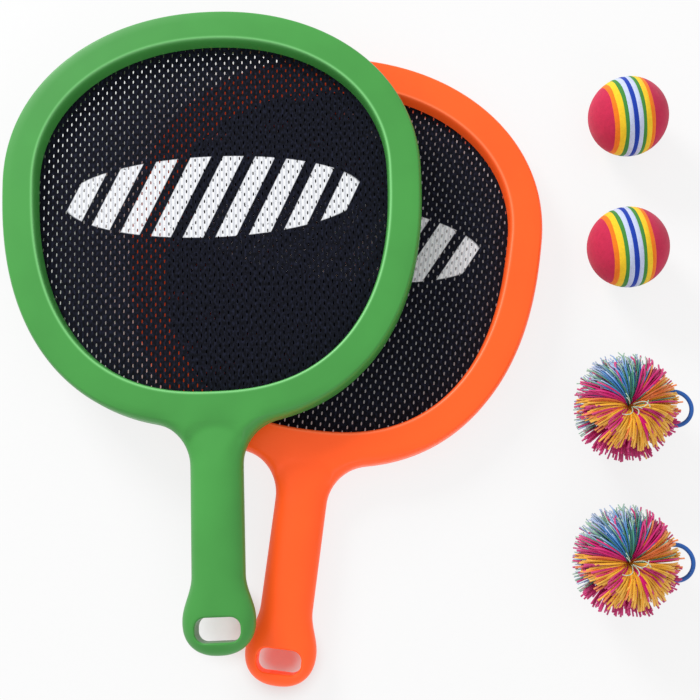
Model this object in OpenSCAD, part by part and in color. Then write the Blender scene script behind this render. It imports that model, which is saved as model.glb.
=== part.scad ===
// Two-player badminton set: two mesh-faced rackets, two laminated foam balls and two strand balls with a
// finger loop, laid out flat with one racket resting on the other. Millimetres, +Z up, and the origin is
// on the resting surface under the middle of the set.

/* [Racket head] */
// Width of the head, outside of the rim
head_w = 217; // [190:1:240]
// Height of the head above its widest line
head_rise = 92.1; // [84:0.1:104]
// Height of the head below its widest line
head_drop = 129.7; // [116:0.1:142]
// Squareness of the head's upper outline, 2 is an ellipse
rise_power = 2.1; // [2:0.05:2.6]
// Squareness of the head's lower outline, 2 is an ellipse
drop_power = 2.37; // [2:0.01:2.8]
// Width of the rim
rim_w = 17.5; // [17:0.1:20]
// Radius that rounds the rim's outer edge
rim_edge_r = 2.2; // [1.6:0.1:3]
// Width of the rounded inner slope of the rim
rim_slope_w = 1.8; // [1.4:0.1:3]

/* [Racket frame] */
// Thickness of the whole frame, both halves together
frame_t = 19; // [17:0.5:22]
// Wall of each moulded half
shell_wall = 2; // [1.6:0.1:2.4]
// Overall length of the racket
racket_l = 332; // [315:1:350]
// Width of the handle
handle_w = 26.2; // [24:0.2:30]
// Radius of the fillets between the head and the handle
neck_r = 22.3; // [18:0.1:26]
// Length over which the rim's section turns into the handle's
neck_blend_l = 46; // [40:1:52]
// Width of the bulb at the handle's end
bulb_w = 35.4; // [33:0.1:39]
// Length of the round end of the bulb
bulb_end_l = 16.6; // [15:0.1:19]
// Length over which the handle flares into the bulb
flare_l = 21.2; // [16:0.1:26]
// Squareness of the bulb's end, 2 is an ellipse
bulb_power = 2.3; // [2:0.1:3]
// Length of the hanging slot
slot_l = 22; // [18:0.5:24]
// Width of the hanging slot
slot_w = 11.8; // [9:0.1:13]
// Distance from the handle's end to the middle of the hanging slot
slot_from_end = 12.4; // [11.5:0.1:14]

/* [Racket mesh] */
// Thickness of the mesh sheet
mesh_t = 0.8; // [0.5:0.1:1.2]
// Clearance on each side of the mesh in the slit of the frame
slit_clear = 0.05; // [0.05:0.05:0.2]
// Width of the hoop moulded on the edge of the mesh
hoop_w = 4; // [3:0.1:4.6]
// Height of that hoop
hoop_h = 6; // [4:0.5:8]
// Depth that the sheet reaches into the hoop
hoop_grip = 1.2; // [0.6:0.1:2]
// Clearance between the hoop and the frame's inner wall
hoop_clear = 0.6; // [0.4:0.1:1]

/* [Screws] */
// Radius of a screw's shank
screw_r = 1.3; // [1:0.1:1.6]
// Radius of a screw's head
screw_head_r = 2.6; // [2.2:0.1:3]
// Height of a screw's head
screw_head_h = 1.8; // [1.4:0.1:2.2]
// Length of the shank that goes into the front half
screw_bite = 6; // [4:0.5:7]
// Radius of the boss around a screw
boss_r = 3.5; // [3.2:0.1:3.8]
// Clearance around the shank and the head
screw_clear = 0.1; // [0.05:0.05:0.2]
// Depth of the sunk seat of a screw's head
seat_depth = 3.2; // [2.6:0.1:4]
// Distance from the rim's outer edge to its screws
screw_inset = 7; // [6.6:0.1:7.4]
// Screws around the rim
rim_screw_count = 8; // [6:1:10]
// Screws along the handle
handle_screw_count = 2; // [1:1:3]

/* [Foam balls] */
// Diameter of a foam ball
ball_d = 42; // [38:0.5:46]
// Thickness of the orange foam sheets in a ball
orange_foam_t = 2.1; // [1.5:0.1:3]
// Thickness of the yellow foam sheets
yellow_foam_t = 2.8; // [1.5:0.1:3]
// Thickness of the green foam sheets
green_foam_t = 1.9; // [1.5:0.1:3]
// Thickness of the white foam sheets
white_foam_t = 2.4; // [1.5:0.1:3]
// Thickness of the blue foam sheet
blue_foam_t = 2.3; // [1.5:0.1:3]
// How far the stack of sheets lies off the ball's middle
stack_shift = 1.9; // [0:0.1:3]
// Turn of the ball's layers in plan
ball_turn = 9.3; // [0:0.1:20]
// Rise of the ball's layer axis out of the level
ball_dip = 0.3; // [0:0.1:12]

/* [Strand balls] */
// Diameter of a strand ball
tuft_d = 54; // [50:0.5:60]
// Height of a strand ball as it lies
tuft_h = 46; // [42:0.5:50]
// Radius of the flat on which a strand ball rests
tuft_foot_r = 13; // [9:0.5:16]
// Depth of the dimple on top of a strand ball
dimple_h = 7; // [4:0.5:10]
// Radius of that dimple
dimple_r = 9; // [7:0.5:12]
// Radius of the band that ties the strands
band_r = 5; // [4.5:0.1:6]
// Wall of that band
band_wall = 1.6; // [1.2:0.1:2]
// Height of that band
band_h = 9; // [7:0.5:11]
// Clearance between the strands and the band
band_clear = 0.3; // [0.2:0.05:0.5]
// Radius of the thin opening along the axis of a strand ball
tuft_axis_r = 0.5; // [0.4:0.1:1]

/* [Finger loops] */
// Diameter of the loop's rubber cord
loop_cord_d = 2.2; // [1.8:0.1:2.6]
// Width of the loop, cord included
loop_w = 19.4; // [17:0.2:22]
// Reach of the loop from the middle of its strand ball
loop_reach = 34.6; // [32:0.2:38]
// Distance from the middle of the band to the loop's cross-bar
loop_pivot_x = 8; // [7.6:0.1:9]
// Angle of the loop's swing, up and down
loop_swing_angle = 20; // [10:1:24]
// Running clearance of the cross-bar in its eye
eye_clear = 0.08; // [0.05:0.01:0.1]
// Wall of the eye around the cross-bar
eye_wall = 1.3; // [1:0.1:1.6]
// Width of the eye along the cross-bar
eye_w = 6; // [4:0.5:8]

/* [Layout] */
// Widest point of the green racket's head, across
green_x = -68.3; // [-78:0.1:-58]
// Widest point of the green racket's head, along
green_y = 82.2; // [70:0.1:95]
// Turn of the green racket
green_turn = 2.2; // [-5:0.1:5]
// Widest point of the orange racket's head, across
orange_x = -3.3; // [-13:0.1:7]
// Widest point of the orange racket's head, along
orange_y = 64.3; // [54:0.1:74]
// Turn of the orange racket, handle towards the green one
orange_turn = -7.2; // [-12:0.1:-5]
// Gap between the two stacked rackets
stack_gap = 0.2; // [0.1:0.1:0.5]
// Place of the first foam ball, across
ball_1_x = 151.8; // [146:0.1:166]
// Place of the first foam ball, along
ball_1_y = 119.7; // [105:0.1:135]
// Place of the second foam ball, across
ball_2_x = 148.1; // [143:0.1:163]
// Place of the second foam ball, along
ball_2_y = 47.3; // [40:0.1:60]
// Place of the first strand ball, across
tuft_1_x = 141.7; // [138:0.1:158]
// Place of the first strand ball, along
tuft_1_y = -37.8; // [-45:0.1:-25]
// Place of the second strand ball, across
tuft_2_x = 137.9; // [134:0.1:154]
// Place of the second strand ball, along
tuft_2_y = -113.8; // [-125:0.1:-105]

/* [Hidden] */
RACKETS = ["green", "orange"];
RACKET_PIECES = ["front_frame", "back_frame", "mesh_face", "mesh_hoop", "rim_screws", "handle_screws"];
BALL_LAYERS = [
    "red_cap_left", "orange_left", "yellow_left", "green_left", "white_left", "blue_core",
    "white_right", "green_right", "yellow_right", "orange_right", "red_cap_right"
];
STRAND_COLOURS = ["yellow", "magenta", "blue", "green", "orange"];

$fn = 64;
half_t = frame_t / 2;
half_handle = handle_w / 2;
half_bulb = bulb_w / 2;
slit_half = mesh_t / 2 + slit_clear;
handle_end_y = head_rise - racket_l;
bulb_mid_y = handle_end_y + bulb_end_l;
flare_top_y = bulb_mid_y + flare_l;
slot_y = handle_end_y + slot_from_end;

// Head outline: a superellipse, squarer below its widest line than above. The angle t runs
// anticlockwise from the right-hand widest point.
function power_of(t) = sin(t) >= 0 ? rise_power : drop_power;
function height_of(t) = sin(t) >= 0 ? head_rise : head_drop;
function head_point(t) = [
    head_w / 2 * sign(cos(t)) * pow(abs(cos(t)), 2 / power_of(t)),
    height_of(t) * sign(sin(t)) * pow(abs(sin(t)), 2 / power_of(t))
];
function head_normal(t) =
    let (
        q = 2 - 2 / power_of(t),
        n = [
            sign(cos(t)) * pow(abs(cos(t)), q) / (head_w / 2),
            sign(sin(t)) * pow(abs(sin(t)), q) / height_of(t)
        ]
    ) n / norm(n);
// Point of the head outline moved inwards by d
function head_inset(t, d) = head_point(t) - d * head_normal(t);

// Neck fillet: a circle outside the head and beside the handle, touching both. Its angle on the head is
// found by halving the interval in which the circle's centre passes the right distance from the axis.
function neck_angle(low = -88, high = -30, steps = 30) =
    let (mid = (low + high) / 2)
    steps == 0 ? mid :
    (head_inset(mid, -neck_r)[0] > half_handle + neck_r)
        ? neck_angle(low, mid, steps - 1) : neck_angle(mid, high, steps - 1);
neck_t = neck_angle();
neck_c = head_inset(neck_t, -neck_r);
neck_from = atan2(-head_normal(neck_t)[1], -head_normal(neck_t)[0]);
neck_x = head_point(neck_t)[0];

// Steps of the moulded surface: around the head, across the neck and handle, and down each stretch of it
head_steps = 60;
cross_steps = 12;
fillet_steps = 7;
shaft_steps = 4;
flare_steps = 5;
end_steps = 6;

// Right-hand outline of neck, handle and bulb, from the head's tangent point to the end, moved in by d
function ease(k) = (1 - cos(180 * k)) / 2;
function end_width(k) = pow(1 - pow(k, bulb_power), 1 / bulb_power);
function handle_outline(d) = concat(
    [for (i = [0:fillet_steps]) let (a = neck_from + (180 - neck_from) * i / fillet_steps)
        neck_c + (neck_r + d) * [cos(a), sin(a)]],
    [for (i = [1:shaft_steps]) [half_handle - d, neck_c[1] + (flare_top_y - neck_c[1]) * i / shaft_steps]],
    [for (i = [1:flare_steps]) let (k = i / flare_steps)
        [half_handle - d + (half_bulb - half_handle) * ease(k), flare_top_y - flare_l * k]],
    [for (i = [1:end_steps]) let (k = sin(90 * i / end_steps))
        [(half_bulb - d) * end_width(k), bulb_mid_y - (bulb_end_l - d) * k]]
);

// Angle on the head's lower outline at which its half width is x
function lower_angle(x) = -acos(pow(x / (head_w / 2), drop_power / 2));
// Angles around the head: over the top from the right neck tangent to the left one, then across the neck
over_top = [for (i = [0:head_steps]) neck_t + (180 - 2 * neck_t) * i / head_steps];
across_neck = [for (j = [1:cross_steps - 1]) let (x = -neck_x * cos(180 * j / cross_steps))
    x > 0 ? lower_angle(x) + 360 : 180 - lower_angle(-x)];
around = concat(over_top, across_neck);

// Distance of a point from the outline of neck, handle and bulb, measured on the right-hand side
function segment_distance(p, a, b) =
    let (ab = b - a, k = max(0, min(1, ((p - a) * ab) / (ab * ab)))) norm(p - a - k * ab);
function edge_distance(p, outline) =
    let (q = [abs(p[0]), p[1]])
    min([for (i = [0:len(outline) - 2]) segment_distance(q, outline[i], outline[i + 1])]);

// Height of a moulded half above the parting plane. In from the outer edge it rises on a round after a
// straight wall, and out from the opening it rises on the rounded inner slope. Down the neck the round
// grows until the handle is oval.
rim_wall_share = 0.45;
handle_wall_share = 0.1;
slope_power = 2.4;
function blend(a, b, k) = a + (b - a) * k;
function handle_share(y) = ease(max(0, min(1, (rim_w - head_drop - y) / neck_blend_l)));
function edge_round(inset) = max(shell_wall / 4, rim_edge_r - inset);
function edge_height(d, y, inset) =
    let (
        r = blend(edge_round(inset), half_handle - inset, handle_share(y)),
        k = 1 - min(1, d / r),
        straight = blend(rim_wall_share, handle_wall_share, handle_share(y))
    ) (half_t - inset) * blend(straight, 1, sqrt(1 - k * k));
function slope_height(d, inset) =
    let (k = 1 - min(1, d / rim_slope_w))
    blend(slit_half, half_t - inset, pow(1 - pow(k, slope_power), 1 / slope_power));

// One skin of a moulded half: the ring of the head, the sheet of neck and handle, and the foot of the wall
// on the parting plane. The outside is the skin with inset 0, and the inside is inset by the wall.
// Rows across the rim, as shares of its outer round and of its inner slope
round_shares = [0, 0.3, 1];
slope_shares = [1, 0.5, 0.15, 0];
ring_rows = len(round_shares) + len(slope_shares);
function ring_distances(inset) = concat(
    [for (k = round_shares) k * edge_round(inset)],
    [for (k = slope_shares) rim_w - 2 * inset - k * rim_slope_w]
);
function ring_skin(inset) =
    let (outline = handle_outline(inset), ds = ring_distances(inset))
    [for (k = [0:ring_rows - 1]) for (i = [0:len(around) - 1])
        let (
            p = head_inset(around[i], inset + ds[k]),
            far = i > head_steps ? edge_distance(p, outline) : ds[k],
            near = rim_w - 2 * inset - ds[k]
        ) [p[0], p[1], min(edge_height(far, p[1], inset), slope_height(near, inset))]];
function handle_skin(inset) =
    let (outline = handle_outline(inset), top = outline[0])
    [for (i = [1:len(outline) - 2]) for (j = [0:cross_steps])
        let (
            e = outline[i],
            across = -cos(180 * j / cross_steps),
            sag = head_inset(lower_angle(abs(across) * neck_x), inset)[1] - top[1],
            p = [across * e[0], e[1] + sag * max(0, 1 - i / fillet_steps)]
        ) [p[0], p[1], edge_height(edge_distance(p, outline), p[1], inset)]];
function end_skin(inset) = [[0, handle_end_y + inset, edge_height(0, handle_end_y, inset)]];
function upper_skin(inset) = concat(ring_skin(inset), handle_skin(inset), end_skin(inset));
function skin(inset) =
    let (upper = upper_skin(inset))
    concat(upper, [for (i = outer_loop) [upper[i][0], upper[i][1], 0]]);

ring_n = len(around);
handle_rows = fillet_steps + shaft_steps + flare_steps + end_steps - 1;
across_n = cross_steps + 1;
handle_0 = ring_rows * ring_n;
end_i = handle_0 + handle_rows * across_n;
foot_0 = end_i + 1;
function ring_i(k, i) = k * ring_n + (i % ring_n);
// Point j across row i of the handle, where row 0 is the head's own arc between the neck tangents
function handle_i(i, j) = i == 0 ? ring_i(0, head_steps + j) : handle_0 + (i - 1) * across_n + j;
// Loops of points that bound the upper skin: the top of the outer wall, and the edge of the opening
outer_loop = concat(
    [for (i = [0:head_steps]) ring_i(0, i)],
    [for (i = [1:handle_rows]) handle_i(i, 0)],
    [end_i],
    [for (i = [handle_rows:-1:1]) handle_i(i, cross_steps)]
);
opening_loop = [for (i = [0:ring_n - 1]) ring_i(ring_rows - 1, i)];
outer_n = len(outer_loop);
skin_n = foot_0 + outer_n;
foot_loop = [for (i = [0:outer_n - 1]) foot_0 + i];
// Two triangles of a four-cornered patch
function patch(a, b, c, d) = [[a, b, c], [a, c, d]];
// Band of patches between two closed loops of as many points
function band(a, b) =
    let (n = len(a))
    [for (i = [0:n - 1]) each patch(a[i], a[(i + 1) % n], b[(i + 1) % n], b[i])];
function moved(loop, by) = [for (i = loop) i + by];
function handle_faces(from) = concat(
    [for (i = [from:handle_rows - 1]) for (j = [0:cross_steps - 1]) each
        patch(handle_i(i, j), handle_i(i + 1, j), handle_i(i + 1, j + 1), handle_i(i, j + 1))],
    [for (j = [0:cross_steps - 1]) [handle_i(handle_rows, j), end_i, handle_i(handle_rows, j + 1)]]
);
skin_faces = concat(
    [for (k = [0:ring_rows - 2]) for (i = [0:ring_n - 1]) each
        patch(ring_i(k, i), ring_i(k, i + 1), ring_i(k + 1, i + 1), ring_i(k + 1, i))],
    handle_faces(0),
    band(foot_loop, outer_loop)
);
function turned(faces) = [for (f = faces) [for (i = [len(f) - 1:-1:0]) f[i]]];

// One moulded half: both skins, joined along the parting plane and along the opening
module moulded_half() {
    polyhedron(
        points = concat(skin(0), skin(shell_wall)),
        faces = concat(
            turned(skin_faces),
            [for (f = skin_faces) moved(f, skin_n)],
            band(foot_loop, moved(foot_loop, skin_n)),
            band(moved(opening_loop, skin_n), opening_loop)
        ),
        convexity = 10
    );
}

// Solid end of the handle under the outer skin, from the row where the flare starts
module solid_bulb() {
    first = fillet_steps + shaft_steps;
    left = [for (i = [first:handle_rows]) head_steps + i];
    right = [for (i = [handle_rows:-1:first]) outer_n - i];
    rim = concat(left, [head_steps + handle_rows + 1], right);
    top = [for (i = rim) outer_loop[i]];
    foot = [for (i = rim) foot_0 + i];
    n = len(rim);
    polyhedron(
        points = skin(0),
        faces = concat(
            turned(handle_faces(first)),
            [for (i = [0:n - 2]) each patch(top[i], top[i + 1], foot[i + 1], foot[i])],
            [foot],
            [concat([foot[0], foot[n - 1]], [for (j = [cross_steps:-1:0]) handle_i(first, j)])]
        ),
        convexity = 4
    );
}

// Outline of the hanging slot, grown by d
slot_corner_r = 0.42 * slot_w;
module slot_outline(d) {
    corner_x = slot_l / 2 - slot_corner_r;
    corner_y = slot_w / 2 - slot_corner_r;
    for (sx = [-1, 1], sy = [-1, 1])
        translate([sx * corner_x, slot_y + sy * corner_y]) circle(r = slot_corner_r + d);
    translate([-corner_x, slot_y - slot_w / 2 - d]) square([2 * corner_x, slot_w + 2 * d]);
    translate([-slot_l / 2 - d, slot_y - corner_y]) square([slot_l + 2 * d, 2 * corner_y]);
}

// Screws: around the rim between its widest points, and along the straight of the handle
rim_screw_places = [for (i = [0:rim_screw_count - 1])
    head_inset(90 + 360 * (i + 0.5) / rim_screw_count, screw_inset)];
handle_screw_places = [for (i = [0:handle_screw_count - 1])
    [0, neck_c[1] + (flare_top_y - neck_c[1]) * (i + 0.5) / handle_screw_count]];
screw_places = concat(rim_screw_places, handle_screw_places);
boss_h = half_t - shell_wall / 2;
screw_tip_room = 0.5;
screw_drive_l = 1.2 * screw_head_r;
screw_drive_w = 0.3 * screw_head_r;

// Half of a frame with its screw bosses and its hanging slot
module bossed_half() {
    difference() {
        union() {
            moulded_half();
            for (p = screw_places) translate(p) cylinder(r = boss_r, h = boss_h);
            intersection() {
                linear_extrude(half_t) slot_outline(shell_wall);
                solid_bulb();
            }
        }
        translate([0, 0, -half_t]) linear_extrude(2 * frame_t) slot_outline(0);
    }
}

module front_frame() {
    difference() {
        bossed_half();
        for (p = screw_places) translate([p[0], p[1], -half_t])
            cylinder(r = screw_r + screw_clear, h = half_t + screw_bite + screw_tip_room);
    }
}

module back_frame() {
    mirror([0, 0, 1]) difference() {
        bossed_half();
        for (p = screw_places) translate(p) {
            translate([0, 0, -half_t]) cylinder(r = screw_r + screw_clear, h = 2 * frame_t);
            translate([0, 0, half_t - seat_depth]) cylinder(r = screw_head_r + screw_clear, h = half_t);
        }
    }
}

// Mesh sheet, which runs through the slit between the halves into the hoop
hoop_inset = rim_w - shell_wall - hoop_clear;
module mesh_face() {
    linear_extrude(mesh_t, center = true)
        polygon([for (t = around) head_inset(t, hoop_inset - hoop_grip)]);
}

// Hoop moulded on the edge of the mesh, too thick to pull through the slit
module mesh_hoop() {
    difference() {
        linear_extrude(hoop_h, center = true) difference() {
            polygon([for (t = around) head_inset(t, hoop_inset - hoop_w)]);
            polygon([for (t = around) head_inset(t, hoop_inset)]);
        }
        mesh_face();
    }
}

// Screw with its head sunk in the back half and its point in the front half
module screw() {
    translate([0, 0, seat_depth - half_t]) {
        cylinder(r = screw_r, h = half_t - seat_depth + screw_bite);
        difference() {
            translate([0, 0, -screw_head_h]) cylinder(r = screw_head_r, h = screw_head_h);
            for (a = [0, 90]) rotate([0, 0, a]) translate([0, 0, -screw_head_h])
                cube([2 * screw_drive_l, screw_drive_w, screw_head_h], center = true);
        }
    }
}

module screws(places) {
    for (p = places) translate(p) screw();
}

// Places of the two rackets: the orange one lies on the surface, and the green one lies on it
module place_racket(r) {
    if (r == "green")
        translate([green_x, green_y, frame_t + stack_gap + half_t]) rotate([0, 0, green_turn]) children();
    else translate([orange_x, orange_y, half_t]) rotate([0, 0, orange_turn]) children();
}

RACKET_COLOURS = ["mediumseagreen", "tomato"];
MESH_COLOUR = "#14171f";
module racket_piece(r, p) {
    shell_colour = RACKET_COLOURS[search([r], RACKETS)[0]];
    place_racket(r) {
        if (p == "front_frame") color(shell_colour) front_frame();
        if (p == "back_frame") color(shell_colour) back_frame();
        if (p == "mesh_face") color(MESH_COLOUR) mesh_face();
        if (p == "mesh_hoop") color(MESH_COLOUR) mesh_hoop();
        if (p == "rim_screws") color("silver") screws(rim_screw_places);
        if (p == "handle_screws") color("silver") screws(handle_screw_places);
    }
}

// Foam ball: flat sheets glued face to face between two caps, all turned to one sphere. Layer 5 is the
// middle sheet, and the caps take what is left of the sphere.
LAYER_COLOURS = ["crimson", "darkorange", "gold", "seagreen", "lavender", "royalblue"];
middle_layer = 5;
sheet_t = [0, orange_foam_t, yellow_foam_t, green_foam_t, white_foam_t, blue_foam_t];
half_stack = orange_foam_t + yellow_foam_t + green_foam_t + white_foam_t + blue_foam_t / 2;
ball_at = [[ball_1_x, ball_1_y], [ball_2_x, ball_2_y]];
// Place of layer i among the colours and sheets, counted from the nearer cap
function from_cap(i) = middle_layer - abs(i - middle_layer);
// Glued face under layer i, over the ball's middle along the layer axis
function layer_face(i) = i == 1 ? -half_stack - stack_shift : layer_face(i - 1) + sheet_t[from_cap(i - 1)];
module ball_layer(k, i) {
    low = i == 0 ? -ball_d / 2 : layer_face(i);
    high = i == 2 * middle_layer ? ball_d / 2 : layer_face(i + 1);
    color(LAYER_COLOURS[from_cap(i)])
        translate(concat(ball_at[k - 1], ball_d / 2)) rotate([0, 90 - ball_dip, ball_turn])
            rotate_extrude() intersection() {
                circle(d = ball_d);
                translate([0, low]) square([ball_d, high - low]);
            }
}

// Strand ball: sectors of one round form, by the colour of the strands in them. Each sector is a colour,
// its start and end angle, and whether it is in the upper or the lower half.
tuft_at = [[tuft_1_x, tuft_1_y], [tuft_2_x, tuft_2_y]];
tuft_r = tuft_d / 2;
tuft_mid_z = tuft_h / 2;
cord_r = loop_cord_d / 2;
SECTORS = [
    ["yellow", -160, 25, true], ["magenta", 25, 60, true], ["blue", 60, 160, true],
    ["magenta", 160, 200, true], ["magenta", -150, -20, false], ["orange", -20, 70, false],
    ["green", 70, 210, false]
];
STRAND_PAINTS = ["goldenrod", "mediumvioletred", "steelblue", "seagreen", "darkorange"];
arc_steps = [0:15:90];
// Half section of the upper strands: over the shoulder, then down into the dimple
function upper_section() = concat(
    [[band_r + band_clear, tuft_mid_z]],
    [for (a = arc_steps) [
        dimple_r + (tuft_r - dimple_r) * cos(a),
        tuft_mid_z + (tuft_h - tuft_mid_z) * sin(a)
    ]],
    [for (a = [15:15:90]) [
        tuft_axis_r + (dimple_r - tuft_axis_r) * (1 - sin(a)),
        tuft_h - dimple_h * (1 - cos(a))
    ]],
    [[tuft_axis_r, tuft_mid_z + band_h / 2 + band_clear]],
    [[band_r + band_clear, tuft_mid_z + band_h / 2 + band_clear]]
);
// Half section of the lower strands: from the foot out to the widest line
function lower_section() = concat(
    [[tuft_axis_r, 0]],
    [for (a = arc_steps) [
        tuft_foot_r + (tuft_r - tuft_foot_r) * sin(a),
        tuft_mid_z * (1 - cos(a))
    ]],
    [[band_r + band_clear, tuft_mid_z]],
    [[band_r + band_clear, tuft_mid_z - band_h / 2 - band_clear]],
    [[tuft_axis_r, tuft_mid_z - band_h / 2 - band_clear]]
);

// Room for the loop's swing and for its eye
eye_r = cord_r + eye_clear + eye_wall;
module loop_room() {
    from = band_r - band_wall;
    high = eye_r + band_clear;
    far = tuft_r + cord_r;
    far_high = (far - loop_pivot_x) * tan(loop_swing_angle) + high / cos(loop_swing_angle);
    translate([0, 0, tuft_mid_z]) rotate([90, 0, 0])
        linear_extrude(loop_w + 2 * band_clear, center = true)
            polygon([[from, -high], [loop_pivot_x, -high], [far, -far_high],
                [far, far_high], [loop_pivot_x, high], [from, high]]);
}

module place_tuft(k) {
    translate(tuft_at[k - 1]) children();
}

module strands(k, colour) {
    color(STRAND_PAINTS[search([colour], STRAND_COLOURS)[0]]) place_tuft(k)
        for (s = SECTORS) if (s[0] == colour)
            difference() {
                rotate([0, 0, s[1]]) rotate_extrude(angle = s[2] - s[1])
                    polygon(s[3] ? upper_section() : lower_section());
                loop_room();
            }
}

// Band that ties the strands, with the eye that holds the loop's cross-bar
module tie_band(k) {
    color("dimgray") place_tuft(k) translate([0, 0, tuft_mid_z]) difference() {
        union() {
            cylinder(r = band_r, h = band_h, center = true);
            translate([loop_pivot_x, 0, 0]) rotate([90, 0, 0])
                cylinder(r = eye_r, h = eye_w, center = true);
            translate([0, -eye_w / 2, -cord_r]) cube([loop_pivot_x, eye_w, 2 * cord_r]);
        }
        cylinder(r = band_r - band_wall, h = 2 * band_h, center = true);
        translate([loop_pivot_x, 0, 0]) rotate([90, 0, 0])
            cylinder(r = cord_r + eye_clear, h = 2 * eye_w, center = true);
    }
}

// Finger loop: cross-bar in the eye, two bends, two legs and a half-round end
loop_leg_y = loop_w / 2 - cord_r;
loop_bend_r = loop_cord_d;
module cord_arc(r, from, angle) {
    rotate([0, 0, from]) rotate_extrude(angle = angle) translate([r, 0]) circle(r = cord_r);
}
module loop(k) {
    leg_end_x = loop_reach - cord_r - loop_leg_y;
    leg_start_x = loop_pivot_x + loop_bend_r;
    color("royalblue") place_tuft(k) translate([0, 0, tuft_mid_z]) {
        translate([loop_pivot_x, 0, 0]) rotate([90, 0, 0])
            cylinder(r = cord_r, h = 2 * (loop_leg_y - loop_bend_r), center = true);
        for (s = [-1, 1]) {
            translate([leg_start_x, s * (loop_leg_y - loop_bend_r), 0])
                cord_arc(loop_bend_r, s > 0 ? 90 : 180, 90);
            translate([leg_start_x, s * loop_leg_y, 0]) rotate([0, 90, 0])
                cylinder(r = cord_r, h = leg_end_x - leg_start_x);
        }
        translate([leg_end_x, 0, 0]) cord_arc(loop_leg_y, -90, 180);
    }
}

for (r = RACKETS) for (p = RACKET_PIECES)
    racket_piece(r, p);
for (k = [1, 2]) for (i = [0:2 * middle_layer])
    ball_layer(k, i);
for (k = [1, 2]) for (c = STRAND_COLOURS)
    strands(k, c);
for (k = [1, 2]) tie_band(k);
for (k = [1, 2]) loop(k);
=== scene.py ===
"""Looks of the badminton set: two moulded rackets with mesh faces, two laminated foam balls and two balls of
rubber strands. Sizes are millimetres in the set's own frame, and meshes are made in metres."""
import math

import bmesh
import bpy
import numpy as np
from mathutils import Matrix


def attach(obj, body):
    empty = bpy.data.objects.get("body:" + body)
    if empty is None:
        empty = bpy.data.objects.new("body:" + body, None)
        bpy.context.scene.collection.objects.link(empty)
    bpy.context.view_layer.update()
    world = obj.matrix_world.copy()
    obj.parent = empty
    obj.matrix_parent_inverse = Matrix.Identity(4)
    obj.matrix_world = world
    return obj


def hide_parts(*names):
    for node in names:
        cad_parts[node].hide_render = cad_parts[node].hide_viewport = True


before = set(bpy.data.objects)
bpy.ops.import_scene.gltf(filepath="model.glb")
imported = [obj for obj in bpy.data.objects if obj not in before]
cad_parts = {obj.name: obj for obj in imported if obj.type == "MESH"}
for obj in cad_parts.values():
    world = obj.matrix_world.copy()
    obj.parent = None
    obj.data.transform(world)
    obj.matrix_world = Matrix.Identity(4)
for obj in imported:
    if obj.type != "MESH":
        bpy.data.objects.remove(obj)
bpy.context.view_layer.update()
MM = 0.001

# Racket head, frame and mesh
HEAD_W = 217.0
HEAD_RISE = 92.1
HEAD_DROP = 129.7
RISE_POWER = 2.1
DROP_POWER = 2.37
RIM_W = 17.5
RIM_EDGE_R = 2.2
RIM_SLOPE_W = 1.8
# Width and place of the painted highlight along the top of the inner slope, where the rim's rows also lie
# closer
CREST_W = 1.2
CREST_AT = 0.8 * RIM_SLOPE_W
SLOPE_POWER = 2.4
FRAME_T = 19.0
SHELL_WALL = 2.0
RACKET_L = 332.0
HANDLE_W = 26.2
NECK_R = 22.3
NECK_BLEND_L = 46.0
BULB_W = 35.4
BULB_END_L = 16.6
BULB_POWER = 2.3
FLARE_L = 21.2
SLOT_L = 22.0
SLOT_W = 11.8
SLOT_CORNER_R = 0.42 * SLOT_W
SLOT_FROM_END = 12.4
SLOT_EDGE_R = 1.3
RIM_WALL_SHARE = 0.45
HANDLE_WALL_SHARE = 0.1
PARTING_CHAMFER = 0.25
PARTING_LIP = 0.35
PARTING_GAP = 0.02
MESH_T = 0.8
MESH_ROOM = 0.05
SLIT_HALF = MESH_T / 2 + MESH_ROOM
MESH_TUCK = 3.6
STACK_GAP = 0.2

# Places of the rackets: widest point of the head, height of the parting plane, turn in degrees
GREEN_PLACE = (-68.3, 82.2, 1.5 * FRAME_T + STACK_GAP, 2.2)
ORANGE_PLACE = (-3.3, 64.3, 0.5 * FRAME_T, -7.2)

# Shoulder where the handle starts: a hollow that is deepest on an arch below the head. The arch falls to the
# handle's sides, and the ramp below it ends on a line across the handle.
SHOULDER_FROM = 1.6
SHOULDER_W = 27.4
SHOULDER_FALL = 10.7
SHOULDER_L = 19.6
SHOULDER_DIP = 1.7
SHOULDER_EDGE = 5.0
NECK_DIP_L = 8.0

# Screws of the back half
RIM_SCREWS = 8
HANDLE_SCREWS = 2
SCREW_INSET = 7.0
BOSS_R = 3.5
SEAT_R = 2.7
SEAT_DEPTH = 3.2
SHANK_R = 1.4
BOSS_FOOT = 0.05
CUT_OVER = 1.0
BAR_SIDES = 28

# Weave of the mesh: staggered slits, a thinner edge round each slit, and how near to the hem slits are cut,
# as a share of the way from the middle
WEAVE_COLUMN = 4.66
WEAVE_ROW = 2.85
WEAVE_SLIT_W = 0.75
WEAVE_SLIT_L = 2.1
WEAVE_SLIT_T = 0.56
SLIT_LIMIT = 0.99
HEM_N = 1440

# Print on the mesh: an oval of slanted white stripes
PRINT_W = 156.0
PRINT_H = 44.0
PRINT_Y = -9.0
STRIPE_STEP = 17.2
STRIPE_W = 9.6
STRIPE_SLANT = 0.5
PRINT_EDGE = 0.25

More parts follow.
